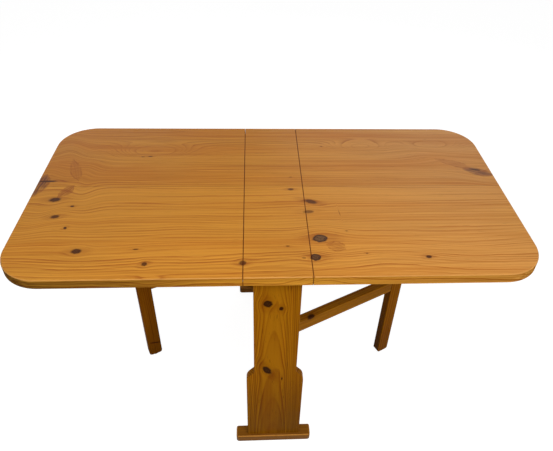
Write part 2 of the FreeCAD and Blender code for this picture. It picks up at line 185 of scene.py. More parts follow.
FAR = 99.0              # radii from a knot where there is none
THROUGH = (0.0, 0.2)    # depth and half depth of a knot that goes right through its board
BEND_FALL = -0.18       # makes the push on the grain die away over about three radii
KNOT_PUSH = 0.9
FEATHER_PUSH = 0.5

CARRIED = {"Place": "Vector", "Nearest": "Float", "Inside": "Vector", "Tone": "Float"}
OF_ONE_KNOT = {"Centre": "Vector", "Size": "Vector", "Turn": "Float", "Push": "Float",
               "Own tone": "Float"}


def knot_group():
    """Bends the grain round one knot, and keeps the place in radii inside the nearest so far."""
    group = bpy.data.node_groups.new("knot", "ShaderNodeTree")
    for in_out, sockets in (("INPUT", {**CARRIED, **OF_ONE_KNOT}), ("OUTPUT", CARRIED)):
        for name, kind in sockets.items():
            group.interface.new_socket(name, in_out=in_out, socket_type="NodeSocket" + kind)
    shader = Shader(group)
    given = shader.node("NodeGroupInput").outputs
    offset = shader.vector("SUBTRACT", given["Place"], given["Centre"])
    turned = shader.node("ShaderNodeVectorRotate", {"Vector": offset, "Angle": given["Turn"]},
                         rotation_type="Z_AXIS").outputs[0]
    scaled = shader.vector("DIVIDE", turned, given["Size"])
    distance = shader.vector("LENGTH", scaled)
    closer = shader.math("LESS_THAN", distance, given["Nearest"])
    square = shader.math("MULTIPLY", distance, distance)
    fall = shader.math("EXPONENT", shader.math("MULTIPLY", square, BEND_FALL))
    shift = shader.product(shader.parts(offset)[1], fall, given["Push"])
    result = shader.node("NodeGroupOutput").inputs
    bent = shader.vector("SUBTRACT", given["Place"], shader.combine(0.0, shift, 0.0))
    shader.feed(result["Place"], bent)
    shader.feed(result["Nearest"], shader.math("MINIMUM", distance, given["Nearest"]))
    shader.feed(result["Inside"], shader.mix(closer, given["Inside"], scaled, kind="VECTOR"))
    shader.feed(result["Tone"], shader.mix(closer, given["Tone"], given["Own tone"], kind="FLOAT"))
    return group


KNOT = knot_group()


def bend_round(shader, place, knots, push):
    """Grain place bent round the knots, with the distance, inner place and tone of the nearest.

    A knot is along, across, half length, half width, turn in degrees, tone and, where it doesn't
    go through its board, depth and half depth.
    """
    carried = {"Place": place, "Nearest": FAR, "Inside": (FAR, 0.0, 0.0), "Tone": 0.0}
    for along, across, half_length, half_width, turn, tone, *depth in knots:
        deep, half_depth = depth if depth else THROUGH
        made = shader.node("ShaderNodeGroup", node_tree=KNOT)
        own = {"Centre": (along, across, deep), "Size": (half_length, half_width, half_depth),
               "Turn": -math.radians(turn), "Push": push, "Own tone": tone}
        for name, value in {**carried, **own}.items():
            shader.feed(made.inputs[name], value)
        carried = {name: made.outputs[name] for name in carried}
    return tuple(carried.values())


# Linear colours, before the tint of the piece
PINE_COLOURS = {
    "early": (0.610, 0.254, 0.030),
    "late": (0.370, 0.110, 0.012),
    "warm": (0.500, 0.160, 0.013),
    "pale": (0.740, 0.350, 0.050),
    "knot": (0.068, 0.017, 0.004),
    "knot_pale": (0.160, 0.078, 0.030),
    "knot_rim": (0.028, 0.006, 0.002),
    "halo": (0.290, 0.072, 0.008),
    "purple": (0.140, 0.040, 0.018),
    # colour of the rubbed finish and painted highlight on the arrises
    "worn_and_lit": (0.740, 0.360, 0.095),
    # colour of the painted sheen
    "painted_sheen": (0.640, 0.315, 0.114),
    "glue": (0.130, 0.036, 0.006),
    "seam": (0.100, 0.010, 0.004),
}

# Noises of the wood: cycles per metre along and across the grain, and a shift to set them apart
SLOW_WANDER = (2.2, 9.0, 0.0)
QUICK_WANDER = (9.0, 40.0, 5.0)
LINE_FADING = (3.5, 70.0, 21.0)
FIBRE = (14.0, 900.0, 0.0)
STREAK = (3.0, 150.0, 3.0)
BAND = (0.8, 15.0, 8.0)
DASH = (28.0, 700.0, 17.0)
BLOTCH = (5.0, 7.0, 13.0)
PORE = (22.0, 800.0, 31.0)
WAVE = (3.0, 60.0, 37.0)
SEED_ACROSS, SEED_INTO = 1.7, 0.6

# Year lines
YEAR = ((0.0, 0.0), (0.30, 0.06), (0.66, 0.38), (0.88, 1.0), (0.94, 0.75), (1.0, 0.0))
YEAR_UNEVENNESS = 0.9
YEAR_DRIFT = 0.31              # cycles of the unevenness in a year
YEAR_CYCLES, YEAR_SEED = 2.3, 3.1    # for the strength of each year's line
STRONG_LINES = (0.28, 0.76)    # noise at which a line is faintest and strongest
STRONGEST_LINE = 1.15
CLEAR_STRETCH = (0.30, 0.68)   # the same for stretches of one line
CLEAREST_STRETCH = 1.1
FADED_STRETCH = 0.13           # added to the faintness of the board
QUICK_PART = 0.20              # of the whole wander

# Planks of a glued board
PLANK_SHIFT = (0.83, 0.31, 0.011)
PLANK_YEARS = 0.37             # of a year from one plank to the next
GLUE_LINE = (0.0003, 0.0013, 1.0)
GLUE_STRENGTH = 0.55

# How strongly each noise tells
LINE_STRENGTH = 0.62
STREAK_WARMTH, BAND_WARMTH, PLANK_WARMTH = 0.9, 1.3, 0.22
PALENESS = 0.6
FIBRE_LIGHT, BLOTCH_LIGHT = 0.20, 0.16
STREAK_DARK, DASH_DARK, PLANK_DARK = 0.22, 0.20, 0.05
DASHES = (0.17, 0.30)          # noise at which the short dark pores begin and are full
FIBRE_GLOSS, BLOTCH_GLOSS = 0.05, 0.10
PORE_RELIEF = 0.6
RELIEF_DEPTH, RELIEF_STRENGTH = 0.00012, 0.35

# By the way that a surface faces, as the upward part of its normal
SIDE_TO_FACE = (0.2, 0.6)
# where the painted shade on faces that look up begins and is full
UPWARD_SHADE_FACING = (0.25, 0.75)
# the band of wear and painted highlight on the arrises lies between these
ARRIS_BAND_BEGINS, ARRIS_BAND_ENDS = 0.05, 0.995
AGAINST_ACROSS = (-0.7, -0.3)     # the same for the part in the across direction

EDGE_TINT = (1.22, 1.27, 0.98)    # the edges of the top are yellower
EDGE_DULLNESS = 0.60              # and rougher
SHEEN_QUIET = 0.7              # how much of the figure the painted sheen takes
FRONT_LIGHT_PART = (0.040, 0.110, 0.1, 1.0)    # where the painted front light grows, from the centre leaf to the wide leaves
WEAR_HIGHLIGHT_FIBRE = (-0.5, 0.35, 0.55, 1.0)         # part of the wear and painted highlight, by the noise of the fibre
SEAM_NO_PALE_BAND = (0.0028, 0.0045)    # distance from a seam where wear and painted highlight begin and are full
SEAM_DIRT = (0.0007, 0.0017, 0.75)

# Feathers, in half lengths and half widths from the middle
FEATHER_RAGGED = 0.40
FEATHER_BODY = (0.45, 1.10, 1.0)
FEATHER_STRIPES = (0.8, 4.5, 1.0)    # cycles along, across and into it
STRIPE_MEAN, STRIPE_CONTRAST = 0.75, 1.1
BROWN_TO_PURPLE = (0.88, 0.96)    # by tone
FEATHER_OUTLINE = ((0.0, 0.0), (0.66, 0.0), (0.88, 0.70), (0.98, 0.0))
OUTLINE_GAPS = (0.36, 0.60)

# Knots, in radii from the middle
KNOT_RAGGED = 0.36
HALO_STRETCH = (0.55, 1.0, 1.0)    # the halo is longer along the grain
HALO_RAGGED = 1.6    # times the knot's own raggedness
HALO = (0.8, 2.3, 0.52)
HALO_MEAN, HALO_ON_LINES = 0.55, 0.9
HEART_RINGS = 19.0    # radians of ring in a radius
RING_CONTRAST = 0.25
HEART_MEAN, HEART_BY_TONE = 0.05, 0.85
KNOT_RIM = ((0.0, 0.1), (0.58, 0.0), (0.84, 0.85), (1.0, 0.60))
KNOT_CRACKS, CRACK_DARK = (0.56, 0.66), 0.8
DARK_TO_PALE = (0.05, 0.30)    # by tone
KNOT_INSIDE = (0.62, 0.86)    # where dark and pale knots are full
KNOT_OUTSIDE = (1.42, 1.20)    # and where they are gone


class Pine(Material):
    """Material of one piece of pine: how the wood was cut, how its finish has aged, and the light
    and shade painted on it.

    The grain place has X along the grain, Y across it and Z into the wood, from the origin.
    A span is where its effect is full, where it is gone, and its amount.
    """

    # The cut
    ring = 0.0065        # width of a year
    centre = None        # middle and bluntness of the arches, or None for straight lines
    slope = 1.0          # how fast the years pass across the board,
    taper = 0.0          # along it
    lean = 0.9           # and into it
    wander = 0.006       # how far a line strays
    faint = 0.22         # strength of the faintest line
    contrast = 1.0       # of the whole figure
    seed = 0.0
    knots = ()           # as bend_round takes them: tone nought is dark, one pale, less is faint
    feathers = ()        # the same: tone is how dark it is, under nought without an outline
    swirls = ()          # along, across, half length, half width, rise in metres of radius
    glue_lines = ()      # places across the grain
    bold = None          # span across the grain: stronger figure
    quiet = None         # middle of a strip across the grain, where it ends, and the figure in it
    edge_figure = 0.0    # stronger figure on upright sides, with their own tint and gloss

    # The finish, and painted light and shade
    tint = (1.0, 1.0, 1.0)
    knot_tint = (1.0, 1.0, 1.0)
    roughness = 0.36
    level = 0.3          # specular level
    painted_sheen = None      # span along the grain: painted sheen, paler and greyer, with less figure
    painted_front_light = None     # span across the grain: painted light, lighter at the front of the wide leaves
    end_shade = None     # span along the grain: painted shade, darker on upright sides
    low_shade = None     # span of height: painted shade, darker towards the bottom
    dark_side = None     # span across the grain: darker
    face_shade = 0.0      # painted shade: darker on the face that looks against the across direction
    upward_shade = 0.0          # painted shade: darker on faces that look up, as under the top
    wear_and_highlight = None          # arrises rubbed pale, with a painted highlight: where it is full, by the normal, and its amount
    seams = None         # distance of the joints of the top from its middle

    def __init__(self, name, along, across, origin, **options):
        super().__init__(name)
        self.along = Vector(along).normalized()
        self.across = Vector(across).normalized()
        self.through = self.along.cross(self.across)
        self.origin = Vector(origin)
        for option, value in options.items():
            if not hasattr(Pine, option):
                raise TypeError("pine has no option " + option)
            setattr(self, option, value)
        self.build()

    def tinted(self, key, tint=(1.0, 1.0, 1.0)):
        """Colour in the tint of the piece, and in a further one."""
        return tuple(c * own * t for c, own, t in zip(PINE_COLOURS[key], self.tint, tint))

    def grain_place(self):
        """Position with the grain along its X, in metres from the origin."""
        position = self.vector("SUBTRACT", self.position, tuple(self.origin))
        return self.combine(*[self.vector("DOT_PRODUCT", position, tuple(axis))
                              for axis in (self.along, self.across, self.through)])

    def stretched(self, place, along, across, shift):
        """Place scaled for one of the noises."""
        scaled = self.vector("MULTIPLY", place, (along, across, across))
        start = (self.seed + shift, self.seed * SEED_ACROSS + shift, self.seed * SEED_INTO)
        return self.vector("ADD", scaled, start)

    def grain(self, place, kind, amount=0.5, **settings):
        """One of the noises, spread evenly about nought."""
        return self.centred_noise(self.stretched(place, *kind), amount, **settings)

    def on_side(self, amount=1.0):
        """Amount on upright sides, nought on level faces."""
        return self.step(self.math("ABSOLUTE", self.upward), *SIDE_TO_FACE, amount, 0.0)

    def build(self):
        """Makes the node tree.

        The relief follows the straight grain: the bent one is too much for the stack of Cycles.
        """
        self.upward = self.parts(self.normal)[2]
        self.straight = self.grain_place()
        place, *knot = bend_round(self, self.straight, self.knots, KNOT_PUSH)
        place, _, *feather = bend_round(self, place, self.feathers, FEATHER_PUSH)
        self.lengthwise, self.sideways, _ = self.parts(self.straight)
        self.plank, joint = self.planks()
        planks = self.combine(self.plank, self.plank, self.plank)
        self.figure = self.vector("ADD", place, self.vector("MULTIPLY", planks, PLANK_SHIFT))
        boldness = self.boldness()
        line = self.year_lines(self.radius(place, boldness))

        self.fibre = self.grain(self.figure, FIBRE, detail=3.0, roughness=0.6)
        self.streak = self.grain(self.figure, STREAK, detail=3.0, roughness=0.55)
        self.band = self.grain(self.figure, BAND, detail=2.0)
        self.dashes = self.step(self.grain(self.figure, DASH, detail=1.0), *DASHES)
        self.blotch = self.grain(self.straight, BLOTCH, detail=3.0)

        colour = self.tinted("early")
        # Painted sheen: paler, greyer wood with less figure along the grain
        if self.painted_sheen:
            sheen_part = self.fade(self.lengthwise, self.painted_sheen)
            colour = self.mix(sheen_part, colour, self.tinted("painted_sheen"))
            boldness = self.math("MULTIPLY", boldness, self.total(1.0, (sheen_part, -SHEEN_QUIET)))
        colour = self.add_figure(colour, line, boldness)
        value = self.lightness(boldness)
        if self.edge_figure:
            colour = self.mix(self.on_side(), colour, EDGE_TINT, blend="MULTIPLY")
        colour = self.mix(1.0, colour, self.combine(value, value, value), blend="MULTIPLY")
        if self.feathers:
            colour = self.add_feathers(colour, *feather)
        if self.knots:
            colour = self.add_knots(colour, *knot, line)
        if self.glue_lines:
            glue = self.math("MULTIPLY", joint, GLUE_STRENGTH)
            colour = self.mix(glue, colour, self.tinted("glue"))
        self.feed(self.surface["Base Color"], self.add_wear_and_highlight(colour))

        gloss = self.total(self.roughness, (self.blotch, BLOTCH_GLOSS), (self.fibre, FIBRE_GLOSS))
        if self.edge_figure:
            gloss = self.math("ADD", gloss, self.on_side(EDGE_DULLNESS), clamp=True)
        self.feed(self.surface["Roughness"], gloss)
        self.surface["Specular IOR Level"].default_value = self.level
        pores = self.grain(self.straight, PORE, 1.0, detail=3.0)
        waves = self.grain(self.straight, WAVE, 1.0, detail=1.0)
        self.set_relief(self.total(waves, (pores, PORE_RELIEF)), RELIEF_DEPTH, RELIEF_STRENGTH)

    def planks(self):
        """Number of the plank, and the dark of the glue lines between planks."""
        joint = plank = 0.0
        for line in self.glue_lines:
            plank = self.math("ADD", plank, self.math("GREATER_THAN", self.sideways, line))
            away = self.math("ABSOLUTE", self.math("SUBTRACT", self.sideways, line))
            joint = self.math("MAXIMUM", self.fade(away, GLUE_LINE), joint)
        return plank, joint

    def boldness(self):
        """How strong the figure is for this piece, by zone of the face and on the edges."""
        gain = 1.0
        if self.quiet:
            middle, near, far, least = self.quiet
            away = self.math("ABSOLUTE", self.math("SUBTRACT", self.sideways, middle))
            gain = self.step(away, near, far, least, 1.0)
        if self.bold:
            gain = self.fade(self.sideways, self.bold, 1.0)
        if self.edge_figure:
            gain = self.math("ADD", gain, self.on_side(self.edge_figure))
        return gain

    def radius(self, place, boldness):
        """How far from the heart of the tree a place lies, in metres."""
        lengthwise, sideways, inward = self.parts(place)
        if self.centre:
            middle, blunt = self.centre
            offset = self.math("SUBTRACT", sideways, middle)
            square = self.math("MULTIPLY_ADD", offset, offset, blunt * blunt)
            sideways = self.math("SQRT", square)
        radius = self.total(self.math("MULTIPLY", sideways, self.slope), (lengthwise, self.taper),
                            (inward, self.lean), (self.plank, self.ring * PLANK_YEARS))
        for along, across, half_length, half_width, rise in self.swirls:
            offset = self.vector("SUBTRACT", self.straight, (along, across, 0))
            scaled = self.vector("DIVIDE", offset, (half_length, half_width, 1.0))
            square = self.vector("DOT_PRODUCT", scaled, scaled)
            bump = self.math("EXPONENT", self.math("MULTIPLY", square, -1.0))
            radius = self.total(radius, (bump, rise))
        slow = self.grain(self.figure, SLOW_WANDER, self.wander, detail=1.0)
        quick = self.grain(self.figure, QUICK_WANDER, self.wander * QUICK_PART, detail=2.0)
        quick = self.math("MULTIPLY", quick, boldness)
        return self.math("ADD", self.math("ADD", radius, slow), quick)

    def year_lines(self, radius):
        """Latewood lines: nought in the pale earlywood, one at the dark end of a year."""
        years = self.math("DIVIDE", radius, self.ring)
        uneven = self.centred_noise(self.combine(years, self.seed, 0.0), YEAR_UNEVENNESS,
                                    detail=1.0, scale=YEAR_DRIFT)
        years = self.math("ADD", years, uneven)
        line = self.ramp(self.math("FRACT", years), YEAR)
        whole = self.math("FLOOR", years)
        strength = self.noise(self.combine(whole, self.seed * YEAR_SEED, 0.5), detail=0.0,
                              scale=YEAR_CYCLES)
        strength = self.step(strength, *STRONG_LINES, self.faint, STRONGEST_LINE)
        stretch = self.noise(self.stretched(self.figure, *LINE_FADING), detail=1.0)
        stretch = self.step(stretch, *CLEAR_STRETCH, FADED_STRETCH + self.faint, CLEAREST_STRETCH)
        return self.math("MULTIPLY", line, self.math("MULTIPLY", strength, stretch))

    def add_figure(self, colour, line, boldness):
        """Year lines, and warmer and paler patches."""
        lines = self.math("MULTIPLY", line, LINE_STRENGTH * self.contrast)
        lines = self.math("MULTIPLY", lines, boldness, clamp=True)
        colour = self.mix(lines, colour, self.tinted("late"))
        warmth = self.total(0.0, (self.band, BAND_WARMTH), (self.streak, STREAK_WARMTH),
                            (self.plank, PLANK_WARMTH))
        warmth = self.math("MULTIPLY", warmth, self.contrast, clamp=True)
        colour = self.mix(warmth, colour, self.tinted("warm"))
        paleness = self.math("ADD", self.streak, self.blotch)
        paleness = self.math("MULTIPLY", paleness, -PALENESS, clamp=True)
        return self.mix(paleness, colour, self.tinted("pale"))

    def lightness(self, boldness):
        """What multiplies the colour: fine grain, and painted light and shade."""
        bold_streak = self.math("MULTIPLY", self.streak, boldness)
        value = self.total(1.0, (self.fibre, FIBRE_LIGHT), (self.blotch, BLOTCH_LIGHT),
                           (bold_streak, -STREAK_DARK * self.contrast),
                           (self.dashes, -DASH_DARK * self.contrast), (self.plank, -PLANK_DARK))
        # Painted shade on upright sides
        if self.end_shade:
            end = self.fade(self.lengthwise, self.end_shade)
            value = self.math("SUBTRACT", value, self.math("MULTIPLY", self.on_side(), end))
        # Painted shade towards the bottom
        if self.low_shade:
            height = self.parts(self.position)[2]
            value = self.math("SUBTRACT", value, self.fade(height, self.low_shade))
        # Painted shade on faces that look up
        if self.upward_shade:
            upward_shade = self.step(self.upward, *UPWARD_SHADE_FACING, 0.0, self.upward_shade)
            value = self.math("SUBTRACT", value, upward_shade)
        # Painted light on the front of the wide leaves
        if self.painted_front_light:
            from_middle = self.math("ABSOLUTE", self.lengthwise)
            gain = self.math("MULTIPLY", self.fade(self.sideways, self.painted_front_light),
                             self.step(from_middle, *FRONT_LIGHT_PART))
            value = self.total(value, (gain, self.step(self.upward, *SIDE_TO_FACE)))
        if self.dark_side:
            value = self.math("SUBTRACT", value, self.fade(self.sideways, self.dark_side))
        # Painted shade on the face that looks against the across direction
        if self.face_shade:
            facing = self.vector("DOT_PRODUCT", self.normal, tuple(self.across))
            dark = self.fade(facing, (*AGAINST_ACROSS, self.face_shade))
            value = self.math("SUBTRACT", value, dark)
        return value

    def add_feathers(self, colour, inside, signed_tone):
        """Leaf shapes of disturbed grain, with a broken outline where the tone is above nought."""
        tone = self.math("ABSOLUTE", signed_tone)
        along, across, _ = self.parts(inside)
        leaf = self.math("MULTIPLY_ADD", along, along, self.math("ABSOLUTE", across))
        ragged = self.centred_noise(inside, FEATHER_RAGGED, scale=1.7, detail=3.0)
        rough = self.math("ADD", leaf, ragged)
        stripes = self.centred_noise(self.vector("MULTIPLY", inside, FEATHER_STRIPES), 1.0,
                                     detail=2.0)
        striped = self.total(STRIPE_MEAN, (stripes, STRIPE_CONTRAST))
        body = self.math("MULTIPLY", self.fade(rough, FEATHER_BODY), tone)
        body = self.math("MULTIPLY", body, striped, clamp=True)
        purple = self.step(tone, *BROWN_TO_PURPLE)
        fill = self.mix(purple, self.tinted("halo"), self.tinted("purple"))
        colour = self.mix(body, colour, fill)
        outline = self.ramp(rough, FEATHER_OUTLINE)
        broken = self.step(self.noise(inside, scale=1.1, detail=1.0), *OUTLINE_GAPS)
        broken = self.math("MULTIPLY", broken, self.math("GREATER_THAN", signed_tone, 0.0))
        return self.mix(self.math("MULTIPLY", outline, broken), colour, self.tinted("halo"))

    def add_knots(self, colour, nearest, inside, tone, line):
        """Knots with a ringed heart, a dark rim, small cracks and a stained halo.

        A tone under nought makes a knot fainter, down to -1, where it is gone.
        """
        strength = self.math("ADD", tone, 1.0, clamp=True)
        ragged = self.centred_noise(inside, KNOT_RAGGED, scale=1.2, detail=3.0, roughness=0.6)
        rough = self.math("ADD", nearest, ragged)
        reach = self.vector("LENGTH", self.vector("MULTIPLY", inside, HALO_STRETCH))
        reach = self.total(reach, (ragged, HALO_RAGGED))
        halo = self.math("MULTIPLY", self.fade(reach, HALO), strength)
        halo = self.math("MULTIPLY", halo, self.total(HALO_MEAN, (line, HALO_ON_LINES)),
                         clamp=True)
        colour = self.mix(halo, colour, self.tinted("halo"))
        rings = self.math("SINE", self.math("MULTIPLY", rough, HEART_RINGS))
        grey = self.math("MULTIPLY_ADD", rings, RING_CONTRAST,
                         self.total(HEART_MEAN, (tone, HEART_BY_TONE)), clamp=True)
        core = self.mix(grey, self.tinted("knot", self.knot_tint), self.tinted("knot_pale"))
        rim = self.ramp(rough, KNOT_RIM)
        cracks = self.step(self.noise(inside, scale=2.6, detail=2.0), *KNOT_CRACKS)
        dark = self.math("MAXIMUM", rim, self.math("MULTIPLY", cracks, CRACK_DARK))
        core = self.mix(dark, core, self.tinted("knot_rim"))
        full = self.step(tone, *DARK_TO_PALE, *KNOT_INSIDE)
        gone = self.step(tone, *DARK_TO_PALE, *KNOT_OUTSIDE)
        body = self.math("MULTIPLY", self.step(rough, full, gone, 1.0, 0.0), strength)
        return self.mix(body, colour, core)

    def add_wear_and_highlight(self, colour):
        """Finish rubbed pale along the arrises with a painted highlight on them, and dirt in the
        joints between the leaves.
        """
        if self.seams:
            from_middle = self.math("ABSOLUTE", self.lengthwise)
            from_seam = self.math("ABSOLUTE", self.math("SUBTRACT", from_middle, self.seams))
        # Pale arrises: rubbed finish and painted highlight
        if self.wear_and_highlight:
            full_from, full_to, amount = self.wear_and_highlight
            worn_and_lit = self.product(self.step(self.upward, ARRIS_BAND_BEGINS, full_from),
                                self.step(self.upward, ARRIS_BAND_ENDS, full_to), amount,
                                self.step(self.fibre, *WEAR_HIGHLIGHT_FIBRE))
            if self.seams:
                worn_and_lit = self.math("MULTIPLY", worn_and_lit, self.step(from_seam, *SEAM_NO_PALE_BAND))
            colour = self.mix(worn_and_lit, colour, self.tinted("worn_and_lit"))
        if self.seams:
            colour = self.mix(self.fade(from_seam, SEAM_DIRT), colour, self.tinted("seam"))
        return colour


def assign(material, *names):
    """Puts a material on CAD nodes."""
    for name in names:
        mesh = nodes[name].data
        mesh.materials.clear()
        mesh.materials.append(material)


TOP_HEIGHT = 0.740
SEAM_X = 0.08335
TOP_KNOTS = (
    # along, across, half length, half width, turn in degrees, tone
    (-0.5950, -0.0420, 0.0145, 0.0088, 8, 0.0),
    (-0.5750, -0.1160, 0.0108, 0.0068, 8, -0.08),
    (-0.4875, -0.2515, 0.0120, 0.0086, 0, 0.1),
    (-0.3175, -0.2990, 0.0066, 0.0066, 25, -0.10),
    (-0.0840, -0.2990, 0.0085, 0.0078, 0, -0.15),
    (0.0485, 0.0025, 0.0080, 0.0045, 0, -0.15),
    (0.1010, -0.0560, 0.0165, 0.0080, -22, -0.12),
    (0.0915, -0.1010, 0.0135, 0.0065, 4, -0.30),
    (0.1115, -0.2115, 0.0190, 0.0140, 0, 0.95),
    (0.0940, -0.2810, 0.0130, 0.0125, 0, 0.45),
    (0.3750, -0.2845, 0.0072, 0.0050, 0, 0.0),
    (-0.5415, -0.0715, 0.0050, 0.0034, 0, 0.0),
    (-0.5370, -0.1625, 0.0040, 0.0048, 25, 0.0),
    (-0.3460, -0.2465, 0.0065, 0.0022, 4, -0.15),
    (-0.3920, 0.1740, 0.0050, 0.0020, 0, -0.30),
    (-0.3700, 0.1760, 0.0065, 0.0024, 0, -0.15),
    (0.0515, 0.0635, 0.0036, 0.0018, 0, -0.45),
    (0.0275, -0.2400, 0.0045, 0.0026, 0, -0.35),
    (0.0650, -0.2825, 0.0050, 0.0024, 0, -0.55),
    (0.1835, -0.1840, 0.0030, 0.0022, 0, -0.50),
    (0.2230, -0.2700, 0.0030, 0.0022, 0, -0.40),
    (0.1590, 0.2350, 0.0030, 0.0022, 0, -0.50),
    # Two pitch streaks and a scratch
    (-0.6390, 0.0450, 0.0260, 0.0042, 2, 0.0),
    (0.6160, 0.1020, 0.0170, 0.0040, -14, 0.5),
    (0.1740, -0.1065, 0.0005, 0.0115, 6, -0.35),
)
TOP_FEATHERS = (
    (-0.5740, 0.1000, 0.0640, 0.0170, -70, 0.40),
    (-0.5750, 0.0080, 0.0520, 0.0150, 71, 0.88),
    (-0.6550, 0.0280, 0.0600, 0.0240, 84, 1.00),
    (0.6260, 0.0880, 0.0520, 0.0210, -21, 1.00),
    (0.5600, 0.1250, 0.0620, 0.0170, -29, 0.40),
    (0.1500, -0.2390, 0.0300, 0.0210, -35, 0.50),
)
TOP_SWIRLS = (
    # along, across, half length, half width, rise
    (-0.362, 0.196, 0.120, 0.048, 0.072),
    (0.284, 0.228, 0.088, 0.040, 0.054),
    (0.515, 0.236, 0.100, 0.034, 0.044),
    (-0.360, 0.310, 0.090, 0.026, -0.010),
    (0.250, -0.300, 0.200, 0.060, -0.018),
    (-0.470, -0.290, 0.160, 0.050, 0.012),
    (0.480, -0.250, 0.200, 0.050, 0.014),
    (0.020, -0.150, 0.180, 0.060, 0.012),
    # Arches on the front edge
    (0.112, -0.354, 0.062, 0.012, -0.026),
    (-0.300, -0.354, 0.060, 0.012, 0.012),
)
# The top has a painted sheen towards its right end, painted light at the front of the wide leaves,
# painted shade on its edges towards the left, and a painted highlight with wear on its arrises.
TOP = Pine("pine_top", X_AXIS, Y_AXIS, (0, 0, TOP_HEIGHT),
           ring=0.0066, slope=0.62, wander=0.011, contrast=1.65, seed=1.3,
           knots=TOP_KNOTS, feathers=TOP_FEATHERS, swirls=TOP_SWIRLS, glue_lines=(0.018,),
           bold=(-0.300, -0.240, 0.8), edge_figure=1.4,
           knot_tint=(1.16, 1.10, 0.10), roughness=0.34, level=0.08,
           painted_sheen=(0.70, -0.10, 0.42), painted_front_light=(-0.300, -0.100, 0.07),
           end_shade=(-0.66, 0.02, 0.52), wear_and_highlight=(0.45, 0.80, 0.75), seams=SEAM_X)

FRONT_BOARD_KNOTS = (
    # up, across towards -X, half height, half width, turn, tone
    (0.633, 0.0235, 0.0120, 0.0110, 0, 0.20),
    (0.6150, -0.0068, 0.0072, 0.0066, 20, 0.0),
    (0.3600, 0.0234, 0.0190, 0.0095, 26, 0.18),
    (0.3190, -0.0160, 0.0060, 0.0025, 0, 0.0),
)
FRONT_BOARD_FEATHERS = (
    (0.3590, 0.0000, 0.0085, 0.0080, 0, 0.10),
    (0.1300, 0.0150, 0.2350, 0.0310, 0, -0.45),
)
# The front board has painted shade on its faces that look up and towards its bottom.
FRONT_BOARD = Pine("pine_front_board", Z_AXIS, -X_AXIS, (0, -0.3311, 0),
                   ring=0.0046, centre=(0.0090, 0.042), slope=1.20, taper=0.035, lean=0.5,
                   wander=0.0022, faint=0.60, contrast=2.8, seed=4.2,
                   knots=FRONT_BOARD_KNOTS, feathers=FRONT_BOARD_FEATHERS,
                   quiet=(0.0100, 0.016, 0.034, 0.28),
                   tint=(0.89, 0.79, 0.16), knot_tint=(0.66, 0.50, 0.30),
                   roughness=0.42, level=0.02, upward_shade=0.30,
                   low_shade=(0.02, 0.46, 0.36), dark_side=(-0.060, -0.005, 0.10))

REAR_BOARD_KNOTS = (
    (0.520, 0.018, 0.0120, 0.0100, 0, 0.3),
    (0.210, -0.030, 0.0090, 0.0080, 20, 0.6),
    (0.300, 0.010, 0.0040, 0.0030, 0, 0.0),
)
# The rear board has painted shade on its faces that look up and towards its bottom.
REAR_BOARD = Pine("pine_rear_board", Z_AXIS, X_AXIS, (0, 0.336, 0),
                  ring=0.0056, centre=(-0.012, 0.020), slope=0.75, taper=-0.04, lean=0.5,
                  wander=0.007, contrast=2.0, seed=9.4, knots=REAR_BOARD_KNOTS,
                  tint=(0.88, 0.82, 0.25), roughness=0.42, level=0.04, upward_shade=0.30,
                  low_shade=(0.02, 0.42, 0.22))

ALL_ALONG = (1.0, 2.0)    # ends of a span that is full all over the piece
# The feet have painted shade on their tops and all along their sides, and a painted highlight with
# wear on their arrises.
FOOT = Pine("pine_foot", X_AXIS, Y_AXIS, (0, 0, 0.027),
            ring=0.0045, slope=0.8, lean=0.5, wander=0.004, contrast=1.4, seed=6.1,
            tint=(0.86, 0.76, 0.50), roughness=0.42, level=0.06, upward_shade=0.55,
            end_shade=(*ALL_ALONG, 0.42), wear_and_highlight=(0.35, 0.75, 0.9))
BATTEN = Pine("pine_batten", X_AXIS, Y_AXIS, (0, 0, 0.700),
              ring=0.0034, slope=0.9, wander=0.002, contrast=2.0, seed=2.6,
              tint=(0.72, 0.62, 0.45), roughness=0.45, level=0.05)
STRETCHER = Pine("pine_stretcher", Y_AXIS, X_AXIS, (0, 0, 0.300),
                 ring=0.0045, slope=0.9, lean=0.5, wander=0.005, seed=7.7,
                 knots=((0.090, 0.010, 0.0100, 0.0075, 0, 0.5),),
                 tint=(0.95, 0.92, 0.70), roughness=0.45, level=0.10)

assign(TOP.material, "centre_leaf", "left_leaf", "right_leaf")
assign(FRONT_BOARD.material, "front_trestle_board")
assign(REAR_BOARD.material, "rear_trestle_board")
assign(FOOT.material, "front_foot", "rear_foot")
assign(BATTEN.material, "front_top_batten", "rear_top_batten", "right_gate_stop", "left_gate_stop")
assign(STRETCHER.material, "lower_stretcher", "upper_stretcher")

GATE_PIVOT = Vector((0.014, -0.196, 0))    # of the right gate; the left one is opposite
GATE_REACH = 0.446
RAIL_HEIGHT = 0.370
RIGHT_RAIL_KNOT = (0.1080, 0.0045, 0.0125, 0.0068, 0, 0.05, 0.0110, 0.010)
LEFT_RAIL_KNOT = (0.310, 0.002, 0.0110, 0.0080, 0, 0.4)
LEFT_LEG_CREASE = (0.0660, -0.004, 0.0022, 0.0170, -17, 0.0)
GATE_PINE = {"ring": 0.0042, "slope": 0.8, "lean": 0.55, "wander": 0.004, "roughness": 0.42}


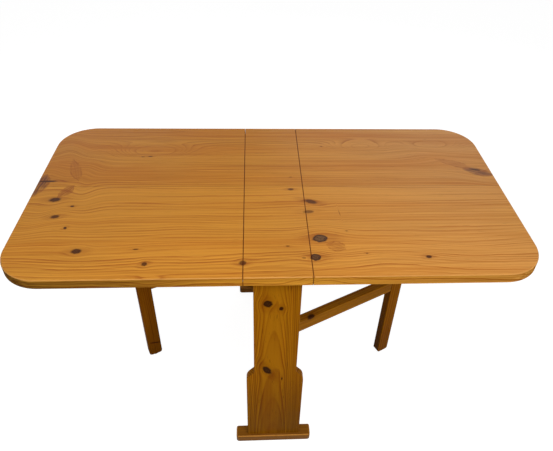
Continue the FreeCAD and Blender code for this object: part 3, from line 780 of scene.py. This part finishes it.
def finish_gate(side, sign, angle, rail, upright):
    """Wood of one gate, whose rails run out from the pivot at an angle to the length of the top.

    Rail and upright are what its rails, and its leg and stile, have of their own.
    """
    along = Vector((math.cos(math.radians(angle)), math.sin(math.radians(angle)), 0)) * sign
    pivot = GATE_PIVOT * sign
    # Rails take painted shade on faces that look up; uprights take it on the face towards the pivot
    # and towards the bottom.
    rails = Pine("pine_%s_rail" % side, along, Z_AXIS, pivot + Z_AXIS * RAIL_HEIGHT,
                 **GATE_PINE, **rail, contrast=2.2, seed=3.4 + sign, level=0.03, upward_shade=0.26)
    uprights = Pine("pine_%s_upright" % side, Z_AXIS, along, pivot + along * GATE_REACH,
                    **GATE_PINE, **upright, contrast=2.4, seed=5.9 + sign, level=0.01,
                    face_shade=0.40)
    assign(rails.material, side + "_gate_lower_rail", side + "_gate_upper_rail")
    assign(uprights.material, side + "_gate_leg", side + "_gate_stile")


finish_gate("right", 1, 27.2,
            {"tint": (0.92, 0.85, 0.22), "knots": (RIGHT_RAIL_KNOT,)},
            {"tint": (0.86, 0.68, 0.13), "low_shade": (0.0, 0.30, 0.31)})
finish_gate("left", -1, 24.0,
            {"tint": (0.70, 0.58, 0.20), "knots": (LEFT_RAIL_KNOT,)},
            {"tint": (0.69, 0.52, 0.13), "low_shade": (0.0, 0.30, 0.40),
             "knots": (LEFT_LEG_CREASE,)})


# Metal, dowels and plastic

TARNISH = 0.25    # of the steel's own lightness


def metal(name, colour, roughness):
    """Plated steel with faint brushing and tarnish."""
    steel = Material(name)
    cloud = steel.position_noise((90, 90, 90), detail=4.0, roughness=0.6)
    brushed = steel.position_noise((2500, 160, 2500), detail=2.0)
    dull = tuple(c * (1 - TARNISH) for c in colour)
    tarnished = steel.step(cloud, low=0.35, high=0.68)
    steel.feed(steel.surface["Base Color"], steel.mix(tarnished, colour, dull))
    rough = steel.total(roughness - 0.1, (cloud, 0.22), (brushed, 0.1))
    steel.feed(steel.surface["Roughness"], rough)
    steel.surface["Metallic"].default_value = 1.0
    steel.set_relief(brushed, distance=0.00005, strength=0.3)
    return steel.material


def white_nylon():
    """White plastic, scuffed and slightly yellowed."""
    nylon = Material("white_nylon")
    cloud = nylon.position_noise((120, 120, 240), detail=4.0, roughness=0.6)
    yellowed = nylon.step(cloud, low=0.40, high=0.75)
    base = nylon.mix(yellowed, (0.78, 0.76, 0.70), (0.52, 0.47, 0.38))
    nylon.feed(nylon.surface["Base Color"], base)
    nylon.feed(nylon.surface["Roughness"], nylon.total(0.32, (cloud, 0.25)))
    nylon.set_relief(cloud, distance=0.0003, strength=0.4)
    return nylon.material


def beech():
    """Plain beech with short flecks."""
    wood = Material("beech")
    fleck = wood.position_noise((300, 900, 900), detail=3.0)
    base = wood.mix(fleck, (0.62, 0.42, 0.26), (0.45, 0.27, 0.14))
    wood.feed(wood.surface["Base Color"], base)
    wood.surface["Roughness"].default_value = 0.6
    return wood.material


# The hinge steel is darkened as painted shade for its place under the top.
HINGE_STEEL = metal("hinge_steel", (0.44, 0.38, 0.25), 0.38)
SCREW_STEEL = metal("screw_steel", (0.52, 0.46, 0.32), 0.34)
PIVOT_STEEL = metal("pivot_steel", (0.50, 0.50, 0.50), 0.30)

HINGES = [name for name in nodes if "_hinge_" in name and not name.endswith("screws")]
SCREWS = [name for name in nodes if name.endswith("_screws")]
assign(HINGE_STEEL, *HINGES)
assign(SCREW_STEEL, *SCREWS)
assign(PIVOT_STEEL, "gate_pivot_pins")
assign(white_nylon(), "right_gate_glide", "left_gate_glide")
assign(beech(), "foot_dowels", "stretcher_dowels")


# Rounded edges

WELD_DISTANCE = 0.00001
FLAT_ANGLE = math.radians(0.5)     # faces that turn less than this are joined
SHARP_ANGLE = math.radians(40)     # edges that turn more than this are rounded

GATE_WOOD = [name for name in nodes
             if "_gate_" in name and name.endswith(("leg", "rail", "stile", "stop"))]


def ease(names, width, segments=2):
    """Rounds the sharp edges of CAD nodes as sandpaper does."""
    for name in names:
        weld = nodes[name].modifiers.new("welded", "WELD")
        weld.merge_threshold = WELD_DISTANCE
        flat = nodes[name].modifiers.new("flat", "DECIMATE")
        flat.decimate_type = "DISSOLVE"
        flat.angle_limit = FLAT_ANGLE
        bevel = nodes[name].modifiers.new("eased", "BEVEL")
        bevel.width = width
        bevel.segments = segments
        bevel.limit_method = "ANGLE"
        bevel.angle_limit = SHARP_ANGLE
        bevel.harden_normals = True


ease(["front_trestle_board", "rear_trestle_board", "front_foot", "rear_foot"], 0.0016)
ease(["front_top_batten", "rear_top_batten", "lower_stretcher", "upper_stretcher"], 0.0010)
ease(GATE_WOOD, 0.0013)
ease(["right_gate_glide", "left_gate_glide"], 0.0008)
ease([name for name in HINGES if name.endswith("flap")], 0.0003, segments=1)


# Screws: cross heads and threads, each where the CAD has its plain screw

SCREW_SIDES = 20
SCREW_PROUD = 0.00015    # how far a head stands out of its countersink
HEAD_FLAT = 0.90         # of the head's radius
HEAD_ZONE = 0.3          # of the head's radius, along the screw
THREAD_RIDGES = 8
THREAD_CORE = 0.76       # core radius, as part of the shank's
THREAD_START = 0.25      # of the length below the head
RIDGE_FOOT, RIDGE_CREST = 0.3, 0.7    # of the pitch
TIP = 0.15               # of the core's radius
CROSS_REACH = 0.62       # of the head's radius
CROSS_WIDTH = 0.17
CROSS_TAPER = 0.35
CROSS_DEPTH = 0.60
CROSS_TURN = 0.6         # radians from one screw to the next
SMOOTH_ANGLE = math.radians(35)
PLACE_DIGITS = 4


def separate_solids(name):
    """Corners of each separate solid of a CAD node, sorted by their lowest X, Y and Z."""
    mesh = bmesh.new()
    mesh.from_mesh(nodes[name].data)
    bmesh.ops.remove_doubles(mesh, verts=mesh.verts, dist=WELD_DISTANCE)
    waiting = set(mesh.verts)
    solids = []
    while waiting:
        reached = [waiting.pop()]
        for vertex in reached:
            for edge in vertex.link_edges:
                other = edge.other_vert(vertex)
                if other in waiting:
                    waiting.discard(other)
                    reached.append(other)
        solids.append([vertex.co.copy() for vertex in reached])
    mesh.free()

    def first_corner(corners):
        return tuple(round(value, PLACE_DIGITS) for value in min(corners, key=tuple))

    return sorted(solids, key=first_corner)


def screw_place(corners):
    """Middle of the head, direction to the tip, radius of head and shank, and length of a screw."""
    lows = Vector([min(corner[i] for corner in corners) for i in range(3)])
    highs = Vector([max(corner[i] for corner in corners) for i in range(3)])
    sizes = highs - lows
    axis = max(range(3), key=lambda i: sizes[i])
    middle = (lows + highs) / 2

    def radius(corner):
        away = corner - middle
        away[axis] = 0
        return away.length

    head_radius = max(radius(corner) for corner in corners)
    head_height = max(corners, key=radius)[axis]
    sign = 1 if head_height < middle[axis] else -1
    direction = Vector([sign if i == axis else 0 for i in range(3)])
    place = middle.copy()
    place[axis] = head_height
    head_zone = head_radius * HEAD_ZONE
    shank_radius = max(radius(corner) for corner in corners
                       if abs(corner[axis] - head_height) > head_zone)
    return place, direction, head_radius, shank_radius, sizes[axis]


def circle(mesh, place, radius, depth):
    """Ring of corners round the axis of a screw."""
    turns = [2 * math.pi * i / SCREW_SIDES for i in range(SCREW_SIDES)]
    corners = [Vector((radius * math.cos(turn), radius * math.sin(turn), depth)) for turn in turns]
    return [mesh.verts.new(place @ corner) for corner in corners]


def bridge(mesh, near, far):
    """Faces between two rings."""
    for i in range(len(near)):
        mesh.faces.new((near[i - 1], near[i], far[i], far[i - 1]))


def add_screw(mesh, place, direction, head, shank, length, turn):
    """Countersunk screw with a cross recess and thread ridges."""
    aim = direction.to_track_quat("Z", "Y").to_matrix().to_4x4()
    frame_of_screw = Matrix.Translation(place) @ aim @ Matrix.Rotation(turn, 4, "Z")
    core = shank * THREAD_CORE
    cone_end = head - shank
    thread_start = cone_end + (length - cone_end) * THREAD_START
    thread_end = length - 2 * shank
    pitch = (thread_end - thread_start) / THREAD_RIDGES
    profile = [(head * HEAD_FLAT, -SCREW_PROUD), (head, 0.0),
               (shank, cone_end), (shank, thread_start)]
    for ridge in range(THREAD_RIDGES):
        start = thread_start + pitch * ridge
        profile += [(core, start + pitch * RIDGE_FOOT), (shank, start + pitch * RIDGE_CREST)]
    profile += [(core, thread_end), (core * TIP, length)]
    rings = [circle(mesh, frame_of_screw, radius, depth) for radius, depth in profile]
    for near, far in zip(rings, rings[1:]):
        bridge(mesh, near, far)
    mesh.faces.new(rings[-1])

    arm = head * CROSS_REACH
    half = head * CROSS_WIDTH
    corners = [Vector((arm, -half)), Vector((arm, half)), Vector((half, half))]
    outline = [Matrix.Rotation(math.pi / 2 * i, 2) @ corner for i in range(4) for corner in corners]

    def cross(scale, depth):
        return [mesh.verts.new(frame_of_screw @ Vector((x * scale, y * scale, depth)))
                for x, y in outline]

    rim = cross(1.0, -SCREW_PROUD)
    floor_of_cross = cross(CROSS_TAPER, head * CROSS_DEPTH)
    bridge(mesh, rim, floor_of_cross)
    mesh.faces.new(floor_of_cross)
    loops = [mesh.edges.get((loop[i - 1], loop[i])) or mesh.edges.new((loop[i - 1], loop[i]))
             for loop in (rings[0], rim) for i in range(len(loop))]
    bmesh.ops.triangle_fill(mesh, use_beauty=True, use_dissolve=False, edges=loops)


def real_screws(name):
    """Piece with the detailed screws of one CAD node."""
    mesh = bmesh.new()
    for index, corners in enumerate(separate_solids(name)):
        add_screw(mesh, *screw_place(corners), index * CROSS_TURN)
    bmesh.ops.recalc_face_normals(mesh, faces=mesh.faces)
    for face in mesh.faces:
        face.smooth = True
    for edge in mesh.edges:
        edge.smooth = edge.is_manifold and edge.calc_face_angle() < SMOOTH_ANGLE
    data = bpy.data.meshes.new("real_" + name)
    mesh.to_mesh(data)
    mesh.free()
    data.materials.append(SCREW_STEEL)
    piece = bpy.data.objects.new("real_" + name, data)
    bpy.context.collection.objects.link(piece)
    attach(piece, nodes[name]["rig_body"])
    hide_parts(name)


for name in sorted(SCREWS):
    real_screws(name)


# Camera, found from the edges of the object in the photograph

IMAGE_WIDTH = 553
IMAGE_HEIGHT = 451
FOCAL_PIXELS = 542.10
PRINCIPAL_POINT = (286.60, 222.02)
CAMERA_PLACE = Vector((-0.0550, -1.2495, 1.6412))
CAMERA_YAW = math.radians(4.368)
CAMERA_PITCH = math.radians(39.130)
CAMERA_ROLL = math.radians(-2.343)
SENSOR_WIDTH = 36.0


def add_camera():
    sin, cos = math.sin, math.cos
    forward = Vector((sin(CAMERA_YAW) * cos(CAMERA_PITCH),
                      cos(CAMERA_YAW) * cos(CAMERA_PITCH), -sin(CAMERA_PITCH)))
    level_right = Vector((cos(CAMERA_YAW), -sin(CAMERA_YAW), 0))
    level_down = forward.cross(level_right)
    right = cos(CAMERA_ROLL) * level_right + sin(CAMERA_ROLL) * level_down
    down = cos(CAMERA_ROLL) * level_down - sin(CAMERA_ROLL) * level_right
    data = bpy.data.cameras.new("camera")
    data.sensor_width = SENSOR_WIDTH
    data.lens = FOCAL_PIXELS / IMAGE_WIDTH * SENSOR_WIDTH
    data.shift_x = (IMAGE_WIDTH / 2 - PRINCIPAL_POINT[0]) / IMAGE_WIDTH
    data.shift_y = (PRINCIPAL_POINT[1] - IMAGE_HEIGHT / 2) / IMAGE_WIDTH
    camera = bpy.data.objects.new("camera", data)
    turn = Matrix((right, -down, -forward)).transposed()
    camera.matrix_world = Matrix.Translation(CAMERA_PLACE) @ turn.to_4x4()
    bpy.context.collection.objects.link(camera)
    bpy.context.scene.camera = camera


# Floor and light

FLOOR_REACH = 30.0
FLOOR_GREY = (0.13, 0.13, 0.13, 1)          # what the floor sends back to the object
FLOOR_SHOWN_GREY = (0.26, 0.26, 0.26, 1)    # how much a shadow darkens the white floor
FLOOR_SHOWN_WHITE = 0.93
WORLD_LIGHT = 0.20
LAMPS = (
    # name, place, aim, diameter, power
    ("key", (0.10, -1.10, 2.45), (0, -0.10, 0.7), 1.6, 30),
    ("fill", (1.1, -2.5, 1.3), (0, -0.3, 0.4), 2.4, 18),
    ("back", (1.0, 2.5, 1.9), (0, 0.2, 0.5), 2.0, 12),
    ("low_back", (-1.3, 2.6, 0.8), (0, 0.2, 0.35), 2.4, 16),
)


def sees_background(shader):
    """One for rays that should find the white background, nought for rays that carry light."""
    path = shader.node("ShaderNodeLightPath").outputs
    seen = shader.math("ADD", path["Is Camera Ray"], path["Is Glossy Ray"])
    return shader.math("ADD", seen, path["Is Transmission Ray"], clamp=True)


def add_floor():
    """White floor with the shadow, clear from below, where it would hide the table."""
    bpy.ops.mesh.primitive_grid_add(x_subdivisions=4, y_subdivisions=4, size=2 * FLOOR_REACH)
    ground = bpy.context.object
    ground.name = "floor"
    material = bpy.data.materials.new("floor")
    material.use_nodes = True
    shader = Shader(material.node_tree)
    shader.tree.nodes.remove(shader.tree.nodes["Principled BSDF"])

    def mixed(factor, first, second):
        return shader.node("ShaderNodeMixShader", {0: factor, 1: first, 2: second}).outputs[0]

    plain = shader.node("ShaderNodeBsdfDiffuse", {"Color": FLOOR_GREY}).outputs[0]
    shown = shader.node("ShaderNodeBsdfDiffuse", {"Color": FLOOR_SHOWN_GREY}).outputs[0]
    glow = shader.node("ShaderNodeEmission", {"Strength": FLOOR_SHOWN_WHITE}).outputs[0]
    white = shader.node("ShaderNodeAddShader", {0: shown, 1: glow}).outputs[0]
    above = mixed(sees_background(shader), plain, white)
    clear = shader.node("ShaderNodeBsdfTransparent").outputs[0]
    below = shader.node("ShaderNodeNewGeometry").outputs["Backfacing"]
    output = shader.tree.nodes["Material Output"]
    shader.feed(output.inputs["Surface"], mixed(below, above, clear))
    ground.data.materials.append(material)


def add_world():
    world = bpy.data.worlds.new("studio")
    bpy.context.scene.world = world
    world.use_nodes = True
    shader = Shader(world.node_tree)
    background = world.node_tree.nodes["Background"]
    background.inputs["Color"].default_value = (1, 1, 1, 1)
    strength = shader.total(WORLD_LIGHT, (sees_background(shader), 1.0 - WORLD_LIGHT))
    shader.feed(background.inputs["Strength"], strength)


def add_lamp(name, place, aim, diameter, power):
    data = bpy.data.lights.new(name, "AREA")
    data.shape = "DISK"
    data.size = diameter
    data.energy = power
    light = bpy.data.objects.new(name, data)
    light.location = place
    light.rotation_mode = "QUATERNION"
    light.rotation_quaternion = (Vector(aim) - Vector(place)).to_track_quat("-Z", "Y")
    bpy.context.collection.objects.link(light)


add_camera()
add_floor()
add_world()
for lamp in LAMPS:
    add_lamp(*lamp)
bpy.context.scene.view_settings.view_transform = "Standard"
